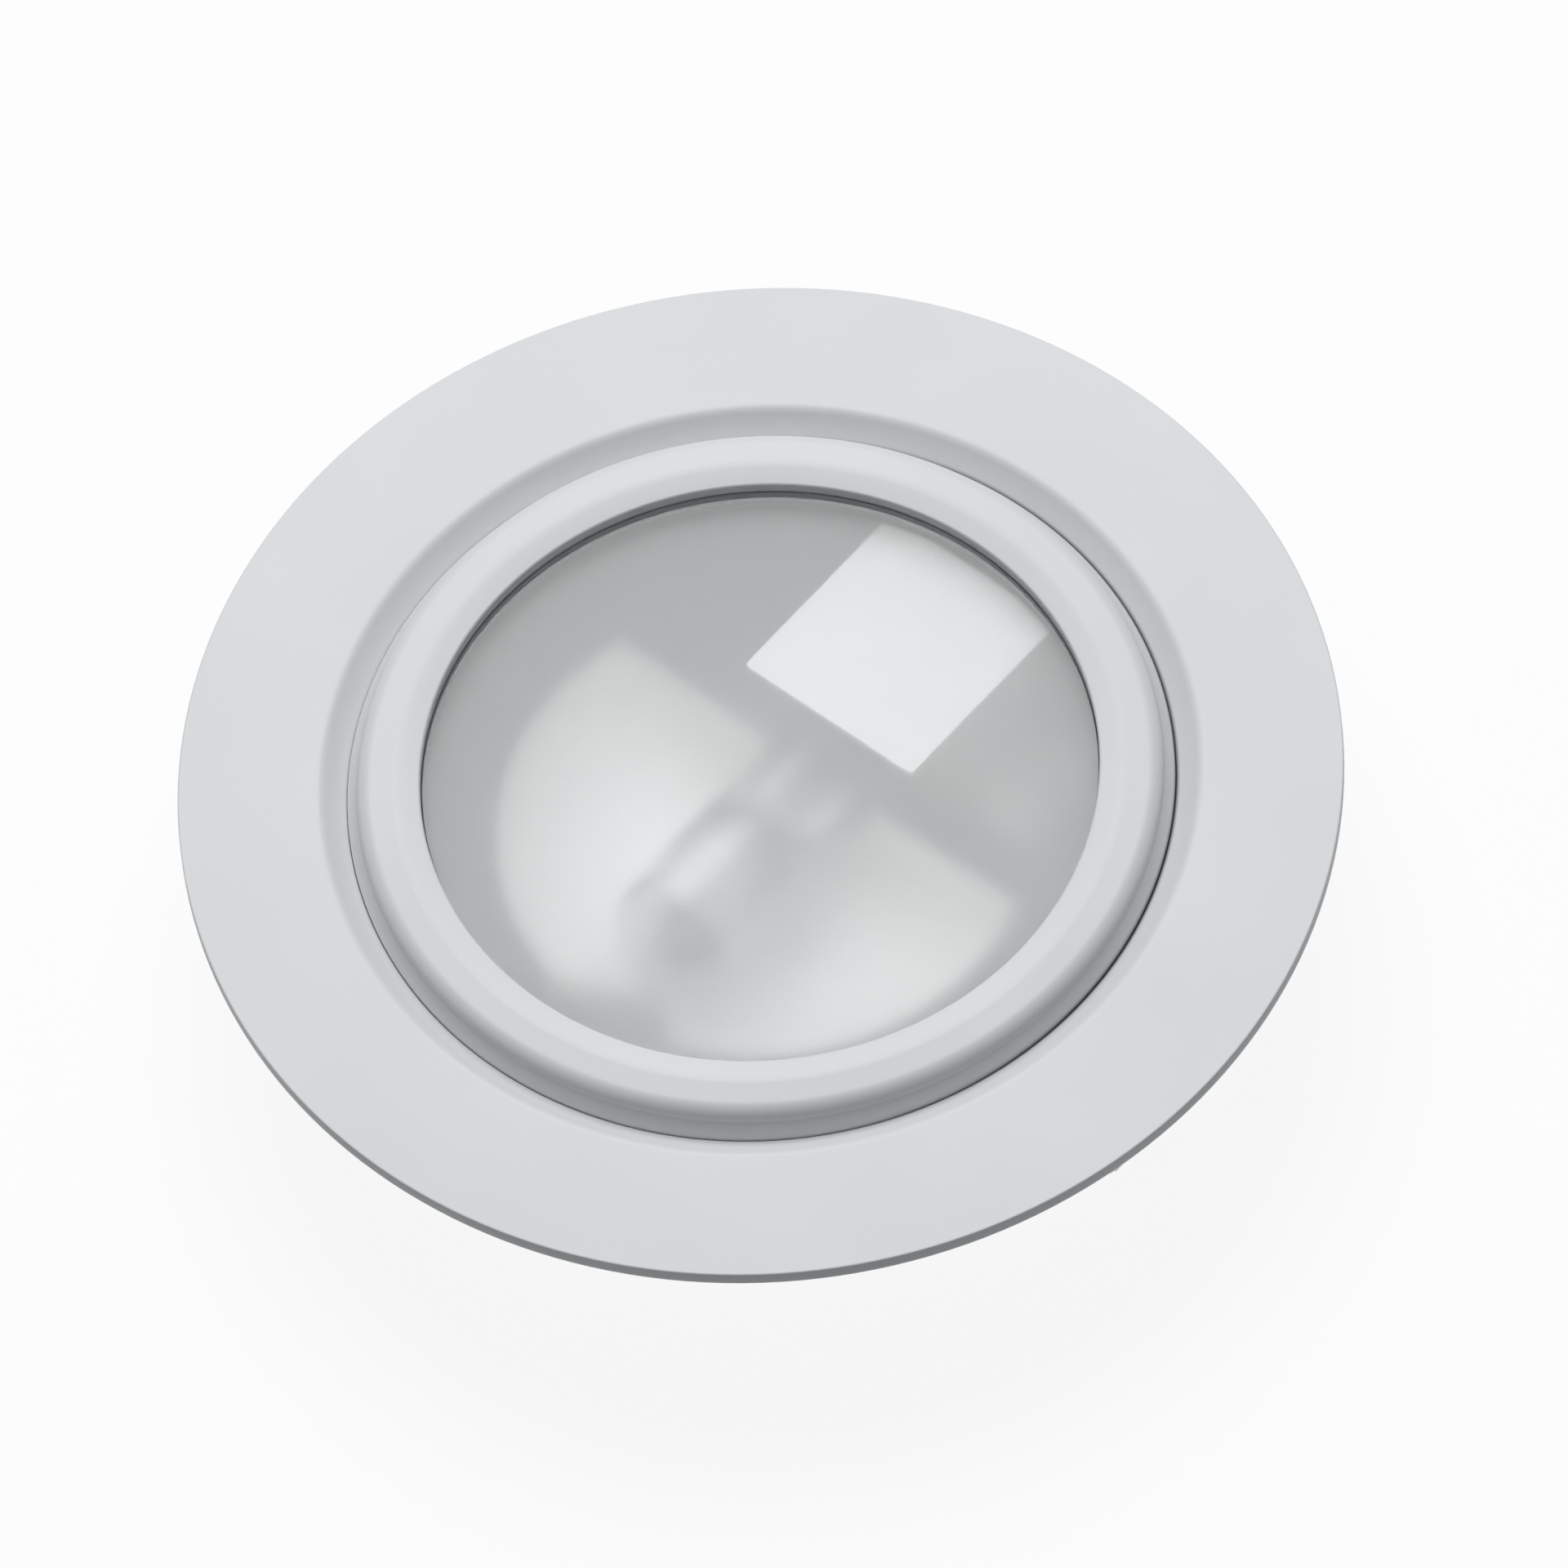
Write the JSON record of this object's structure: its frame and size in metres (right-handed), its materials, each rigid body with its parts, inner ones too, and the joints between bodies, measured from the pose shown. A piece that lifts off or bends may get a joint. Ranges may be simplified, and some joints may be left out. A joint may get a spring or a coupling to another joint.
{
  "type": "recessed furniture light",
  "caption": "Round recessed furniture light: wide white flange, raised snap-in bezel over frosted glass, capsule lamp on a reflector, shallow rear can with sprung side clips.",
  "frame": {"origin": "centre of the panel's cut-out, in the plane of the flange's back face", "axes": "+Z out of the lit face, +X along the lamp towards the lampholder, +Y towards the left clip"},
  "size_m": [0.078, 0.078, 0.0162],
  "materials": {
    "white_enamel": "smooth semi-matt white enamel",
    "shield_enamel": "heat-resistant white enamel",
    "galvanised_steel": "galvanised sheet",
    "frosted_glass": "frosted float glass",
    "silicone": "grey silicone",
    "spring_wire": "drawn spring wire",
    "clip_steel": "zinc-plated spring sheet",
    "satin_aluminium": "satin anodised reflector sheet",
    "steatite": "unglazed ceramic",
    "contact_brass": "drawn brass",
    "plated_fasteners": "nickel-plated steel",
    "quartz": "clear fused quartz",
    "molybdenum": "drawn molybdenum and tungsten"
  },
  "bodies": {
    "housing": {"trim_flange": "white_enamel", "rear_can": "galvanised_steel", "body_rivets": "plated_fasteners", "snap_ring": "spring_wire", "reflector": "satin_aluminium", "reflector_rivets": "plated_fasteners", "lampholder_body": "steatite", "lampholder_contacts": "contact_brass", "terminal_screws": "plated_fasteners", "lampholder_spacer": "galvanised_steel", "lampholder_screws": "plated_fasteners", "lampholder_shield": "shield_enamel", "shield_screws": "plated_fasteners", "cable_grommet": "silicone", "left_clip_bracket": "clip_steel", "left_clip_pin": "plated_fasteners", "left_clip_spring": "spring_wire", "right_clip_bracket": "clip_steel", "right_clip_pin": "plated_fasteners", "right_clip_spring": "spring_wire", "clip_rivets": "plated_fasteners"},
    "bezel": {"bezel_ring": "white_enamel", "lens_glass": "frosted_glass", "lens_gasket": "silicone", "lens_circlip": "spring_wire"},
    "lamp": {"lamp_envelope": "quartz", "lamp_pins": "molybdenum", "lamp_foils": "molybdenum", "lamp_filament": "molybdenum"},
    "left_clip": {"left_clip_arm": "clip_steel"},
    "right_clip": {"right_clip_arm": "clip_steel"}
  },
  "joints": [
    {"name": "bezel_pull", "type": "slide", "parent": "housing", "child": "bezel", "axis": [0, 0, 1], "range_m": [0, 0.025], "deforming": ["snap_ring"]},
    {"name": "lamp_pull", "type": "slide", "parent": "housing", "child": "lamp", "axis": [-1, 0, 0], "range_m": [0, 0.008]},
    {"name": "left_clip_fold", "type": "hinge", "parent": "housing", "child": "left_clip", "pos_m": [0, 0.03219, -0.0099], "axis": [1, 0, 0], "range_deg": [0, 24], "stiffness_Nm_per_rad": 0.05, "springref_deg": -20.05, "deforming": ["left_clip_spring"]},
    {"name": "right_clip_fold", "type": "hinge", "parent": "housing", "child": "right_clip", "pos_m": [0, -0.03219, -0.0099], "axis": [-1, 0, 0], "range_deg": [0, 24], "stiffness_Nm_per_rad": 0.05, "springref_deg": -20.05, "deforming": ["right_clip_spring"]}
  ]
}
